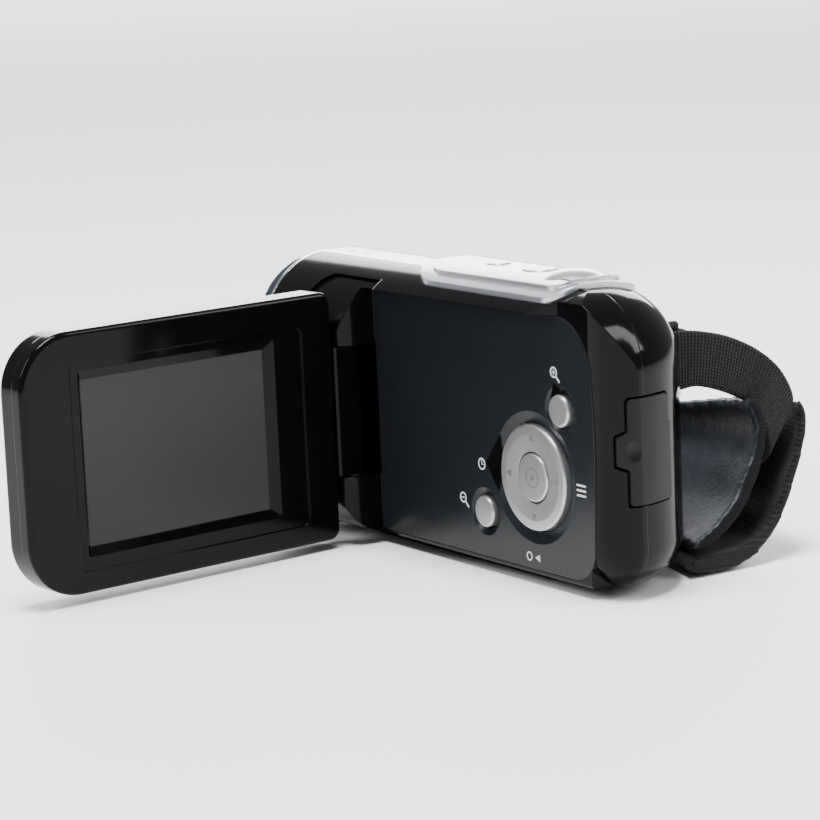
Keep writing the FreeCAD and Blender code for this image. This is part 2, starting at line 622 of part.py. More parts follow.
def make_deck():
    flange = skin(DECK_T, 0.0).common(deck_face(0.0, DECK_BASE_Z).extrude(V(0, 0, 8)))
    crown = skin(DECK_T + 0.6, 0.0).common(deck_face(2.3, DECK_BASE_Z).extrude(V(0, 0, 8)))
    bump = Part.makeSphere(1.0, V(0, 0, 0))
    stretch = FreeCAD.Matrix()
    stretch.scale(V(6.6, 6.4, 3.0))
    bump = bump.transformGeometry(stretch)
    bump.translate(V(0, BUMP_Y, BODY_HEIGHT - 0.4))
    bump = bump.cut(envelope(0.0))
    deck = flange.fuse([crown, bump])
    deck = deck.cut(rod(V(0, SHUTTER_Y, 45), V(0, 0, 1), SHUTTER_R + BUTTON_GAP, 20))
    deck = deck.cut(rod(V(0, POWER_Y, 45), V(0, 0, 1), POWER_R + BUTTON_GAP, 20))
    save("button_deck", deck)

    top = BODY_HEIGHT + DECK_T + 0.6
    for name, y, radius in (("shutter_button", SHUTTER_Y, SHUTTER_R), ("power_button", POWER_Y, POWER_R)):
        cap = rod(V(0, y, SWITCH_TOP_Z + 0.4), V(0, 0, 1), radius, top + 0.25 - SWITCH_TOP_Z - 0.4)
        edges = [e for e in cap.Edges if e.BoundBox.ZMin > BODY_HEIGHT]
        cap = cap.makeFillet(0.4, edges)
        foot = rod(V(0, y, SWITCH_TOP_Z + 0.4), V(0, 0, 1), radius + 0.8, 0.8)
        save(name, cap.fuse(foot))
    board_z = SWITCH_TOP_Z - 2.8
    save("switch_board", box(-6, 6, 3, 27, board_z, board_z + 1.0))
    switches = [box(-1.8, 1.8, y - 1.8, y + 1.8, board_z + 1.0, SWITCH_TOP_Z)
                for y in (SHUTTER_Y, POWER_Y)]
    save("push_switches", *switches)


def make_port_area():
    prism = port_cover_face(0.0, 40).extrude(V(0, 20, 0))
    cover = skin(0.25, 1.2).common(prism)
    dent = Part.makeSphere(4.2, V(5.4, 56.0, 26.6))
    save("port_cover", cover.cut(dent))

    usb = box(-3.8, 3.8, BOARD_REAR_Y, 49.4, 19.4, 23.4)
    save("usb_port", usb.cut(box(-3.3, 3.3, BOARD_REAR_Y + 1, 51, 19.9, 22.9)))
    slot = box(-1.4, 1.4, 35.4, 49.4, 24.6, 36.2)
    save("card_slot", slot.cut(box(-0.6, 0.6, 36.4, 50, 25.1, 35.7)))
    save("memory_card", box(-0.6, 0.4, 36.6, 48.6, 25.3, 35.5))


def make_inside():
    save("main_board", box(-2.6, -1.4, -26, BOARD_REAR_Y, 14, 46))
    chips = [box(-4.0, -2.6, -16, -4, 20, 32), box(-3.8, -2.6, 6, 14, 30, 38)]
    save("board_chips", *chips)
    battery = rect_face(-22.5, 25.5, 3.0, 36.0, 2.0, yz, BATTERY_X)
    save("battery", battery.extrude(V(BATTERY_T, 0, 0)))
    leaf = [box(BATTERY_X + 1.8, -2.6, y, y + 2, 36.0, 37.0) for y in (-12, -7, -2)]
    save("battery_contacts", *leaf)
    save("speaker", rod(V(-HALF_WIDTH + WALL, SPEAKER_Y, SPEAKER_Z), V(1, 0, 0), 5.5, 3.0))
    mics = [rod(V(MIC_X, y, 49.0), V(0, 0, 1), 1.5, BODY_HEIGHT - WALL - 49.0) for y in MIC_YS]
    save("microphones", *mics)

    floor = BASE_Z + WALL
    insert = rod(V(0, 0, 0), V(0, 0, 1), INSERT_R, floor)
    insert = insert.fuse(rod(V(0, 0, floor), V(0, 0, 1), INSERT_R + FLANGE_W, INSERT_H - floor))
    save("tripod_insert", insert.cut(rod(V(0, 0, 0), V(0, 0, 1), SOCKET_R, SOCKET_DEPTH)))

    screws = []
    for y, z in case_screw_places():
        head = rod(V(-HALF_WIDTH + 0.1, y, z), V(1, 0, 0), 1.5, 0.7)
        cross = box(-HALF_WIDTH, -HALF_WIDTH + 0.4, y - 0.9, y + 0.9, z - 0.2, z + 0.2)
        cross = cross.fuse(box(-HALF_WIDTH, -HALF_WIDTH + 0.4, y - 0.2, y + 0.2, z - 0.9, z + 0.9))
        shank = rod(V(-HALF_WIDTH + 0.8, y, z), V(1, 0, 0), 0.8, 5.6)
        screws.append(head.fuse(shank).cut(cross))
    save("case_screws", *screws)


# ================================================================ screen
def screen_place(shape):
    """Turn a part drawn square to the body to where the screen really stands."""
    shape.rotate(V(HINGE_X, HINGE_Y, 0), V(0, 0, 1), OPEN_ANGLE)
    return shape


def sx(u):
    return HINGE_X + u


def sy(n):
    return HINGE_Y + n


def screen_face(margin, level):
    """Panel outline seen from the operator's side, drawn at a station along Y."""
    low = SCREEN_MID_Z - SCREEN_HEIGHT / 2 + margin
    high = SCREEN_MID_Z + SCREEN_HEIGHT / 2 - margin
    near = sx(SCREEN_NEAR) + margin
    far = sx(SCREEN_FAR) - margin
    points = [(near, low), (far, low), (far, high), (near, high)]
    near_r = 2.2 - margin / 2
    far_r = 10.5 - margin
    return rounded_face(points, [near_r, far_r, far_r, near_r], xz, level)


def panel_rect(mid_u, mid_z, width, height, r, level):
    """Rounded rectangle on the panel, at a station along Y."""
    mid = sx(mid_u)
    return rect_face(mid - width / 2, mid + width / 2, mid_z - height / 2, mid_z + height / 2, r, xz, level)


def display_rect(grow, r, level):
    return panel_rect(DISPLAY_MID, DISPLAY_MID_Z, DISPLAY_W + 2 * grow, DISPLAY_H + 2 * grow, r, level)


def screen_screw_places():
    rises = (-SCREEN_SCREW_RISE, SCREEN_SCREW_RISE)
    return [(sx(u), SCREEN_MID_Z + rise) for u in SCREEN_SCREW_US for rise in rises]


def swivel_rod(start_u, radius, length):
    """Round bar on the swivel axis, which runs along the panel's middle."""
    return rod(V(sx(start_u), sy(SCREEN_MID), SCREEN_MID_Z), V(1, 0, 0), radius, length)


def screen_body():
    """Closed hollow form of the panel, before it is split into bezel and cover."""
    face = sy(SCREEN_FACE)
    back = face - SCREEN_T
    whole = screen_face(0.0, back).extrude(V(0, SCREEN_T, 0))
    for level, radius in ((back, SCREEN_BACK_R), (face, SCREEN_RIM_R)):
        rim = [e for e in whole.Edges if abs(e.BoundBox.YMin - level) < 1e-3 and e.BoundBox.YLength < 1e-3]
        whole = whole.makeFillet(radius, rim)
    inner = screen_face(SCREEN_WALL, back + SCREEN_WALL).extrude(V(0, SCREEN_T - 2 * SCREEN_WALL, 0))
    for x, z in screen_screw_places():
        inner = inner.cut(rod(V(x, back, z), V(0, 1, 0), SCREEN_BOSS_R, SCREEN_T))
    return whole.cut(inner)


def make_bezel(shell, socket):
    face = sy(SCREEN_FACE)
    tray_y = face - STEP_DEPTH
    bezel = shell.common(box(-10, 110, face - SPLIT_DEPTH, face + 5, -10, 70))
    tray = panel_rect(TRAY_MID, TRAY_MID_Z, TRAY_W, TRAY_H, 1.6, tray_y)
    rim = panel_rect(RECESS_MID, DISPLAY_MID_Z, RECESS_W, RECESS_H, 0.5, tray_y)
    foot = display_rect(0.0, 0.3, tray_y - RECESS_DEPTH)
    bezel = bezel.cut(tray.extrude(V(0, 3, 0)))
    bezel = bezel.cut(Part.makeLoft([foot.OuterWire, rim.OuterWire], True))
    bezel = bezel.cut(display_rect(0.0, 0.3, face - SPLIT_DEPTH - 1).extrude(V(0, 5, 0)))
    for x, z in screen_screw_places():
        bezel = bezel.cut(rod(V(x, face - SCREEN_T, z), V(0, 1, 0), 0.6, SCREW_LENGTH + 0.9))
    save("screen_bezel", screen_place(bezel.cut(socket)))


def make_screen():
    face = sy(SCREEN_FACE)
    back = face - SCREEN_T
    shell = screen_body()
    socket = swivel_rod(SCREEN_NEAR - 1, SHAFT_R, 4)
    make_bezel(shell, socket)

    cover = shell.common(box(-10, 110, back - 5, face - SPLIT_DEPTH, -10, 70)).cut(socket)
    screws = []
    for x, z in screen_screw_places():
        head = rod(V(x, back + 0.2, z), V(0, 1, 0), 1.2, 0.7)
        shank = rod(V(x, back + 0.9, z), V(0, 1, 0), 0.6, SCREW_LENGTH)
        screws.append(screen_place(head.fuse(shank)))
        cover = cover.cut(rod(V(x, back - 1, z), V(0, 1, 0), 1.2, 1.9))
        cover = cover.cut(rod(V(x, back, z), V(0, 1, 0), 0.6, SCREW_LENGTH + 0.9))
    save("screen_cover", screen_place(cover))
    save("screen_screws", *screws)

    glass_y = face - STEP_DEPTH - RECESS_DEPTH - 0.5
    save("screen_window", screen_place(display_rect(0.0, 0.3, glass_y).extrude(V(0, 0.5, 0))))
    panel_y = glass_y - 1.9
    save("display_panel", screen_place(display_rect(2.0, 0.5, panel_y).extrude(V(0, 1.9, 0))))
    save("screen_board", screen_place(display_rect(0.0, 0.5, panel_y - 0.8).extrude(V(0, 0.8, 0))))

    shaft = swivel_rod(ARM_END - 3.0, SHAFT_R, 7.4)
    collar = swivel_rod(SCREEN_NEAR + SCREEN_WALL, SHAFT_R + 0.45, 2.0)
    save("swivel_shaft", screen_place(shaft.fuse(collar)))


def make_hinge():
    low = EAR_LOW_Z + BUTTON_GAP
    high = EAR_HIGH_Z - BUTTON_GAP
    points = [(sx(-3.4), sy(-4.4)), (sx(ARM_END), sy(-4.4)), (sx(ARM_END), sy(2.6)), (sx(-3.4), sy(2.6))]
    arm = rounded_face(points, [3.2, 0.8, 0.8, 3.2], xy, low).extrude(V(0, 0, high - low))
    arm = arm.cut(swivel_rod(ARM_END - 3.0, SHAFT_R + RUNNING_FIT, 10))
    pins = []
    for start in (EAR_LOW_Z - PIN_GRIP, EAR_HIGH_Z + PIN_GRIP - PIN_LENGTH):
        pins.append(rod(V(HINGE_X, HINGE_Y, start), V(0, 0, 1), PIN_R - RUNNING_FIT, PIN_LENGTH))
        arm = arm.cut(rod(V(HINGE_X, HINGE_Y, start), V(0, 0, 1), PIN_R - RUNNING_FIT, PIN_LENGTH))
    save("hinge_arm", screen_place(arm))
    save("hinge_pins", *pins)


# ================================================================ strap
def lug_legs():
    legs = []
    for y, z in (LUG_REAR, LUG_FRONT):
        for dz in (-LUG_HALF, LUG_HALF):
            legs.append(rod(V(LUG_X, y, z + dz), V(1, 0, 0), LUG_BAR_R, 6.5))
    return legs


def make_lugs():
    for name, (y, z) in (("strap_lug_rear", LUG_REAR), ("strap_lug_front", LUG_FRONT)):
        bar = rod(V(LUG_X, y, z - LUG_HALF), V(0, 0, 1), LUG_BAR_R, 2 * LUG_HALF)
        ends = []
        for dz in (-LUG_HALF, LUG_HALF):
            ends.append(rod(V(LUG_X, y, z + dz), V(1, 0, 0), LUG_BAR_R, 6.5))
            ends.append(Part.makeSphere(LUG_BAR_R, V(LUG_X, y, z + dz)))
        save(name, bar.fuse(ends))


def ribbon(stations):
    """Flat webbing: each station is its upper and lower edge point and its face direction."""
    wires = []
    for upper, lower, normal in stations:
        half = V(*normal).normalize() * (WEB_T / 2)
        a = V(*upper)
        b = V(*lower)
        wires.append(Part.makePolygon([a + half, b + half, b - half, a - half, a + half]))
    return Part.makeLoft(wires, True, False)


def smooth_edge(points):
    curve = Part.BSplineCurve()
    curve.interpolate(points)
    return curve.toShape()


def strap_loft(inner, outer, draws_in):
    """Soft closed form through the stations; the cover also draws in towards the pad."""
    sections = []
    for base_y, lean, shift, rise, stand_off in PAD_STATIONS:
        sides = []
        for side in (inner, outer):
            points = []
            for x, z in side:
                reach = max(0.0, -x - COVER_HUG_X) * (1.0 - stand_off) if draws_in else 0.0
                level = (z - PAD_FLOOR_Z) * rise + PAD_FLOOR_Z
                points.append(V(x + shift + reach * COVER_HUG, base_y + lean * level, level))
            sides.append(points)
        first, second = sides
        edges = [smooth_edge(first), Part.makeLine(first[-1], second[0]),
                 smooth_edge(second), Part.makeLine(second[-1], first[0])]
        sections.append(Part.Wire(edges))
    return Part.makeLoft(sections, True, False)


def make_strap():
    loop_r = LUG_BAR_R + 0.15 + WEB_T
    for name, (y, z), stations in (("strap_web_rear", LUG_REAR, WEB_REAR),
                                   ("strap_web_front", LUG_FRONT, WEB_FRONT)):
        loop = rod(V(LUG_X, y, z - WEB_W / 2), V(0, 0, 1), loop_r, WEB_W)
        web = loop.fuse(ribbon(stations))
        web = web.cut(rod(V(LUG_X, y, z - WEB_W), V(0, 0, 1), LUG_BAR_R + 0.15, 2 * WEB_W))
        save(name, web)
    save("strap_pad", strap_loft(PAD_INNER, PAD_OUTER, False))
    save("strap_cover", strap_loft(COVER_INNER, COVER_OUTER, True))


make_shells()
make_front()
make_optics()
make_plate_and_buttons()
make_deck()
make_port_area()
make_inside()
make_battery_door()
make_screen()
make_hinge()
make_lugs()
make_strap()
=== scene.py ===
import json
import math

import bpy
from mathutils import Matrix, Vector


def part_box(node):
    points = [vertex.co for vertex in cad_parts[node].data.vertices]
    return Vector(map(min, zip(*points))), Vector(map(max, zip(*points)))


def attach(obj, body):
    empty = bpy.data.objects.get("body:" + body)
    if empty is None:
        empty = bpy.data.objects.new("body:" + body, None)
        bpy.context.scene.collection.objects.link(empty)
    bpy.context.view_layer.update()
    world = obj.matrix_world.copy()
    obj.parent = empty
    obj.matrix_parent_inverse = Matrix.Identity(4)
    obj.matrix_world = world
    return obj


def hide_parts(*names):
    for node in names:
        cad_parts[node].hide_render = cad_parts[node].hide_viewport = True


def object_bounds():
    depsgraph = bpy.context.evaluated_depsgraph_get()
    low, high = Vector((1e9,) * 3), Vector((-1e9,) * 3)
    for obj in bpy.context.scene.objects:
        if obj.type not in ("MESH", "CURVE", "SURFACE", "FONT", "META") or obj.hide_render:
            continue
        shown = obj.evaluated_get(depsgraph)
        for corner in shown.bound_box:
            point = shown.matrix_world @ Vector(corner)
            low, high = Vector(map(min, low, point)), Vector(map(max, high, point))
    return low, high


# A pocket camcorder with its screen folded out, on a pale studio floor.  Metres.
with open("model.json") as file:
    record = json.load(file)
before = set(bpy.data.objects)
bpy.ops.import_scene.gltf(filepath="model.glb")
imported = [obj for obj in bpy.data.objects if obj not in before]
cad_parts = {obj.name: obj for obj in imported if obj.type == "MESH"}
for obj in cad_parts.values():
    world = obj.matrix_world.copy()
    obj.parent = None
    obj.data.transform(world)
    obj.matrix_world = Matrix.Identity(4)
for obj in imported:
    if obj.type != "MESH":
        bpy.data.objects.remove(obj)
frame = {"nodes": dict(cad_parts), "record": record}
NODES = frame["nodes"]
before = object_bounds()
MM = 0.001

# ---------------------------------------------------------------- places on the side controls
PLATE_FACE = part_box("control_plate")[1].x
PAD_LOW, PAD_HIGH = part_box("direction_pad")
PAD_CENTRE = ((PAD_LOW.y + PAD_HIGH.y) / 2 / MM, (PAD_LOW.z + PAD_HIGH.z) / 2 / MM)
PAD_FACE = PAD_HIGH.x
OK_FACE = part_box("ok_button")[1].x


# ================================================================ materials
def new_material(name):
    mat = bpy.data.materials.new(name)
    mat.use_nodes = True
    tree = mat.node_tree
    shader = tree.nodes["Principled BSDF"]
    return mat, tree, shader


def add_bump(tree, shader, height, strength, distance, normal=None):
    bump = tree.nodes.new("ShaderNodeBump")
    bump.inputs["Strength"].default_value = strength
    bump.inputs["Distance"].default_value = distance
    tree.links.new(height, bump.inputs["Height"])
    if normal is not None:
        tree.links.new(normal, bump.inputs["Normal"])
    tree.links.new(bump.outputs["Normal"], shader.inputs["Normal"])
    return bump


def object_coords(tree, scale=(1, 1, 1)):
    coords = tree.nodes.new("ShaderNodeTexCoord")
    mapping = tree.nodes.new("ShaderNodeMapping")
    mapping.inputs["Scale"].default_value = scale
    tree.links.new(coords.outputs["Object"], mapping.inputs["Vector"])
    return mapping.outputs["Vector"]


def noise(tree, vector, scale, detail=3.0, rough=0.5):
    node = tree.nodes.new("ShaderNodeTexNoise")
    node.inputs["Scale"].default_value = scale
    node.inputs["Detail"].default_value = detail
    node.inputs["Roughness"].default_value = rough
    tree.links.new(vector, node.inputs["Vector"])
    return node.outputs["Fac"]


def math_node(tree, operation, *values):
    """Result of a sum; each value is a number or the socket that it comes from."""
    node = tree.nodes.new("ShaderNodeMath")
    node.operation = operation
    for socket, value in zip(node.inputs, values):
        if isinstance(value, float):
            socket.default_value = value
        else:
            tree.links.new(value, socket)
    return node.outputs["Value"]


def range_node(tree, value, low, high, to_low=0.0, to_high=1.0):
    node = tree.nodes.new("ShaderNodeMapRange")
    node.inputs["From Min"].default_value = low
    node.inputs["From Max"].default_value = high
    node.inputs["To Min"].default_value = to_low
    node.inputs["To Max"].default_value = to_high
    tree.links.new(value, node.inputs["Value"])
    return node


def ramp_node(tree, value, low, high):
    """Blend from one colour to another as the value goes from 0 to 1."""
    node = tree.nodes.new("ShaderNodeValToRGB")
    node.color_ramp.elements[0].color = (*low, 1)
    node.color_ramp.elements[1].color = (*high, 1)
    tree.links.new(value, node.inputs["Fac"])
    return node.outputs["Color"]


def soft_edges(tree, radius):
    node = tree.nodes.new("ShaderNodeBevel")
    node.samples = 6
    node.inputs["Radius"].default_value = radius
    return node.outputs["Normal"]


def moulded(name, colour, roughness, coat=0.0, metallic=0.0, edge=0.25, grain=900.0, grain_depth=0.02,
            vary=0.04, specular=0.5):
    """Hard finish: rounded edges in the shading, faint grain and a little change of roughness."""
    mat, tree, shader = new_material(name)
    shader.inputs["Base Color"].default_value = (*colour, 1)
    shader.inputs["Metallic"].default_value = metallic
    shader.inputs["Coat Weight"].default_value = coat
    shader.inputs["Coat Roughness"].default_value = 0.04
    shader.inputs["Specular IOR Level"].default_value = specular
    vector = object_coords(tree)
    wear = range_node(tree, noise(tree, vector, 60.0), 0.0, 1.0,
                      max(0.02, roughness - vary), roughness + vary)
    tree.links.new(wear.outputs["Result"], shader.inputs["Roughness"])
    add_bump(tree, shader, noise(tree, vector, grain * 4), grain_depth, 0.0001, soft_edges(tree, edge * MM))
    return mat


def silver_paint(name):
    """Metallic paint: fine flakes under a clear coat."""
    mat, tree, shader = new_material(name)
    vector = object_coords(tree)
    flakes = tree.nodes.new("ShaderNodeTexVoronoi")
    flakes.inputs["Scale"].default_value = 9000.0
    tree.links.new(vector, flakes.inputs["Vector"])
    colour = ramp_node(tree, flakes.outputs["Color"], (0.44, 0.455, 0.48), (0.60, 0.615, 0.64))
    tree.links.new(colour, shader.inputs["Base Color"])
    shader.inputs["Metallic"].default_value = 0.8
    shader.inputs["Roughness"].default_value = 0.3
    shader.inputs["Coat Weight"].default_value = 0.6
    shader.inputs["Coat Roughness"].default_value = 0.06
    add_bump(tree, shader, flakes.outputs["Distance"], 0.05, 0.0001, soft_edges(tree, 0.3 * MM))
    return mat


def satin_metal(name, colour):
    """Satin metallic finish with a fine grain."""
    mat, tree, shader = new_material(name)
    vector = object_coords(tree)
    shader.inputs["Base Color"].default_value = (*colour, 1)
    shader.inputs["Metallic"].default_value = 0.8
    shader.inputs["Roughness"].default_value = 0.33
    add_bump(tree, shader, noise(tree, vector, 2600.0, 4.0), 0.12, 0.0001, soft_edges(tree, 0.25 * MM))
    return mat


def rubbery(name, colour, roughness=0.7):
    mat, tree, shader = new_material(name)
    vector = object_coords(tree)
    shader.inputs["Base Color"].default_value = (*colour, 1)
    shader.inputs["Roughness"].default_value = roughness
    shader.inputs["Specular IOR Level"].default_value = 0.2
    add_bump(tree, shader, noise(tree, vector, 1800.0, 4.0), 0.15, 0.0002, soft_edges(tree, 0.3 * MM))
    return mat


def leather(name):
    """Pebbled synthetic leather with fine creases; painted shade darkens the hollows between the pebbles
    and a painted bluish highlight lightens their tops.
    """
    mat, tree, shader = new_material(name)
    vector = object_coords(tree)
    pebble = tree.nodes.new("ShaderNodeTexVoronoi")
    pebble.feature = "SMOOTH_F1"
    pebble.inputs["Scale"].default_value = 1500.0
    warp = tree.nodes.new("ShaderNodeVectorMath")
    warp.operation = "ADD"
    offset = tree.nodes.new("ShaderNodeVectorMath")
    offset.operation = "SCALE"
    offset.inputs["Scale"].default_value = 0.0012
    wave = tree.nodes.new("ShaderNodeTexNoise")
    wave.inputs["Scale"].default_value = 500.0
    tree.links.new(vector, wave.inputs["Vector"])
    tree.links.new(wave.outputs["Color"], offset.inputs[0])
    tree.links.new(vector, warp.inputs[0])
    tree.links.new(offset.outputs["Vector"], warp.inputs[1])
    tree.links.new(warp.outputs["Vector"], pebble.inputs["Vector"])
    # painted shade and highlight: pebble tops lighter and bluer, the hollows between them darker, following
    # the bump
    colour = ramp_node(tree, pebble.outputs["Distance"], (0.019, 0.023, 0.03), (0.008, 0.009, 0.012))
    tree.links.new(colour, shader.inputs["Base Color"])
    shader.inputs["Roughness"].default_value = 0.5
    shader.inputs["Specular IOR Level"].default_value = 0.3
    height = math_node(tree, "MULTIPLY", pebble.outputs["Distance"], -1.0)
    add_bump(tree, shader, height, 0.4, 0.0002)
    return mat


def bound_leather(name, binding):
    """Leather whose rim is covered by a knitted binding; the mesh says where, in its attribute."""
    mat = leather(name)
    tree = mat.node_tree
    inner = tree.nodes["Principled BSDF"]
    rim = tree.nodes.new("ShaderNodeBsdfPrincipled")
    rim.inputs["Base Color"].default_value = (*binding, 1)
    rim.inputs["Roughness"].default_value = 0.9
    rim.inputs["Specular IOR Level"].default_value = 0.15
    vector = object_coords(tree)
    threads = noise(tree, vector, 2600.0, 2.0)
    add_bump(tree, rim, threads, 0.5, 0.0002)
    mask = tree.nodes.new("ShaderNodeAttribute")
    mask.attribute_name = "binding"
    edge = range_node(tree, mask.outputs["Fac"], 0.42, 0.58)
    edge.interpolation_type = "SMOOTHSTEP"
    mix = tree.nodes.new("ShaderNodeMixShader")
    tree.links.new(edge.outputs["Result"], mix.inputs["Fac"])
    tree.links.new(inner.outputs["BSDF"], mix.inputs[1])
    tree.links.new(rim.outputs["BSDF"], mix.inputs[2])
    tree.links.new(mix.outputs["Shader"], tree.nodes["Material Output"].inputs["Surface"])
    return mat


def woven(name, colour, along, across, depth=0.6, roughness=0.85, uv=True, sheen=0.08):
    """Cloth with cords both ways: many fine ribs along, and threads across them, with painted shade in the
    grooves and a painted highlight on the ribs.
    """
    mat, tree, shader = new_material(name)
    coords = tree.nodes.new("ShaderNodeTexCoord")
    source = coords.outputs["UV"] if uv else coords.outputs["Object"]
    split = tree.nodes.new("ShaderNodeSeparateXYZ")
    tree.links.new(source, split.inputs["Vector"])
    axes = (split.outputs["X"], split.outputs["Y"]) if uv else (split.outputs["Z"], split.outputs["Y"])
    ribs, threads = [math_node(tree, "SINE", math_node(tree, "MULTIPLY", axis, count * math.tau))
                     for axis, count in zip(axes, (along, across))]
    total = math_node(tree, "ADD", ribs, math_node(tree, "MULTIPLY", ribs, threads))
    level = range_node(tree, total, -2.0, 2.0)
    # painted shade and highlight: a darker copy of the colour in the grooves, a lighter copy on the ribs,
    # following the bump
    dark = [c * 0.35 for c in colour]
    light = [c * 1.5 for c in colour]
    tree.links.new(ramp_node(tree, level.outputs["Result"], dark, light), shader.inputs["Base Color"])
    shader.inputs["Roughness"].default_value = roughness
    shader.inputs["Specular IOR Level"].default_value = 0.25
    shader.inputs["Sheen Weight"].default_value = sheen
    shader.inputs["Sheen Roughness"].default_value = 0.4
    add_bump(tree, shader, level.outputs["Result"], depth, 0.0004)
    return mat


def glassy(name, colour, roughness, alpha=1.0, transmission=0.0):
    mat, tree, shader = new_material(name)
    shader.inputs["Base Color"].default_value = (*colour, 1)
    shader.inputs["Roughness"].default_value = roughness
    shader.inputs["Transmission Weight"].default_value = transmission
    shader.inputs["IOR"].default_value = 1.5
    shader.inputs["Coat Weight"].default_value = 0.3
    shader.inputs["Alpha"].default_value = alpha
    return mat


def display_glass(name):
    """Unlit display behind its window: dark violet grey, a little lighter towards one corner, where a
    reflection of the studio light is painted in.
    """
    mat, tree, shader = new_material(name)
    low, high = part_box("screen_window")
    vector = object_coords(tree)
    split = tree.nodes.new("ShaderNodeSeparateXYZ")
    tree.links.new(vector, split.inputs["Vector"])
    # painted reflection: the colour grows lighter towards the top and towards low x
    painted_reflection_across = range_node(tree, split.outputs["X"], high.x, low.x)
    painted_reflection_up = range_node(tree, split.outputs["Z"], low.z, high.z)
    both = math_node(tree, "ADD", painted_reflection_across.outputs["Result"], painted_reflection_up.outputs["Result"])
    half = math_node(tree, "MULTIPLY", both, 0.5)
    colour = ramp_node(tree, half, (0.016, 0.0145, 0.016), (0.052, 0.048, 0.052))
    tree.links.new(colour, shader.inputs["Base Color"])
    shader.inputs["Roughness"].default_value = 0.32
    shader.inputs["Specular IOR Level"].default_value = 0.2
    return mat


MATERIALS = {
    "black_gloss": moulded("black_gloss", (0.0022, 0.0022, 0.0026), 0.1, vary=0.015, specular=0.11),
    "silver_paint": silver_paint("silver_paint"),
    "plate_grey": moulded("plate_grey", (0.010, 0.0115, 0.0135), 0.26, edge=0.2, vary=0.02, specular=0.22),
    "ring_gloss": moulded("ring_gloss", (0.016, 0.021, 0.029), 0.12, coat=0.15, edge=0.3, specular=0.35),
    "chrome": moulded("chrome", (0.82, 0.83, 0.85), 0.1, metallic=1.0, edge=0.15, vary=0.03),
    "button_silver": satin_metal("button_silver", (0.44, 0.45, 0.46)),
    "rubber": rubbery("rubber", (0.004, 0.0042, 0.0045), 0.45),
    "lens_glass": glassy("lens_glass", (0.75, 0.82, 0.95), 0.02, alpha=0.25, transmission=0.6),
    "window_glass": display_glass("window_glass"),
    "lamp_clear": glassy("lamp_clear", (0.9, 0.9, 0.92), 0.25, alpha=0.55),
    "black_matte": moulded("black_matte", (0.006, 0.006, 0.0065), 0.42, edge=0.2, grain_depth=0.12,
                           specular=0.2),
    "board_green": moulded("board_green", (0.01, 0.07, 0.03), 0.4, edge=0.1),
    "chip_black": moulded("chip_black", (0.015, 0.015, 0.015), 0.5, edge=0.1, grain_depth=0.2),
    "steel": moulded("steel", (0.5, 0.5, 0.51), 0.28, metallic=1.0, edge=0.1),
    "brass": moulded("brass", (0.7, 0.5, 0.22), 0.3, metallic=1.0, edge=0.15),
    "battery_wrap": moulded("battery_wrap", (0.05, 0.06, 0.1), 0.4, edge=0.4),
    "web_black": woven("web_black", (0.006, 0.006, 0.0065), 1300.0, 700.0, uv=False),
    "pad_leather": bound_leather("pad_leather", (0.005, 0.0055, 0.0065)),
}
WEBBING = woven("webbing", (0.0055, 0.0055, 0.006), 1.0, 1.0, depth=0.9)
KNIT = woven("knit_binding", (0.005, 0.0055, 0.0065), 1150.0, 1400.0, depth=0.7, uv=False)
MARK = moulded("mark_white", (0.62, 0.63, 0.64), 0.5, edge=0.02)
ENGRAVED = moulded("mark_grey", (0.12, 0.125, 0.13), 0.5, edge=0.02)


def dress(name, material):
    mesh = NODES[name].data
    for i in range(len(mesh.materials)):
        mesh.materials[i] = material
    if not mesh.materials:
        mesh.materials.append(material)


for entry in frame["record"]["subparts"]:
    dress(entry["node"], MATERIALS[entry["material_slot"]])


# ================================================================ building pieces
def mesh_piece(name, verts, faces, material, body, smooth=True):
    mesh = bpy.data.meshes.new(name)
    mesh.from_pydata(verts, [], faces)
    mesh.update()
    obj = bpy.data.objects.new(name, mesh)
    bpy.context.collection.objects.link(obj)
    mesh.materials.append(material)
    for poly in mesh.polygons:
        poly.use_smooth = smooth
    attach(obj, body)
    return obj


def flat_mark(name, shapes, face_x, thick, material, body):
    """Printed mark on a face that looks along +X. Each shape is a closed list of (y, z) in mm."""
    verts = []
    faces = []
    for shape in shapes:
        start = len(verts)
        count = len(shape)
        for x in (face_x + 0.00001, face_x + thick):
            verts.extend(Vector((x, y * MM, z * MM)) for y, z in shape)
        top = [start + count + i for i in range(count)]
        faces.append(top)
        faces.append([start + i for i in reversed(range(count))])
        for i in range(count):
            j = (i + 1) % count
            faces.append([start + i, start + j, start + count + j, start + count + i])
    return mesh_piece(name, verts, faces, material, body, smooth=False)


def ring_shapes(y, z, outer, inner, parts=28):
    """Ring made of short four-sided pieces."""
    shapes = []
    for k in range(parts):
        a, b = math.tau * k / parts, math.tau * (k + 1) / parts
        shapes.append([(y + r * math.cos(t), z + r * math.sin(t))
                       for r, t in ((inner, a), (outer, a), (outer, b), (inner, b))])
    return shapes


def bar(y, z, width, height, turn=0.0):
    c, s = math.cos(turn), math.sin(turn)
    a, b = width / 2, height / 2
    corners = [(-a, -b), (a, -b), (a, b), (-a, b)]
    return [(y + p * c - q * s, z + p * s + q * c) for p, q in corners]


def triangle(y, z, size, turn):
    points = [(size, 0), (-size * 0.6, size * 0.75), (-size * 0.6, -size * 0.75)]
    c, s = math.cos(turn), math.sin(turn)
    return [(y + a * c - b * s, z + a * s + b * c) for a, b in points]


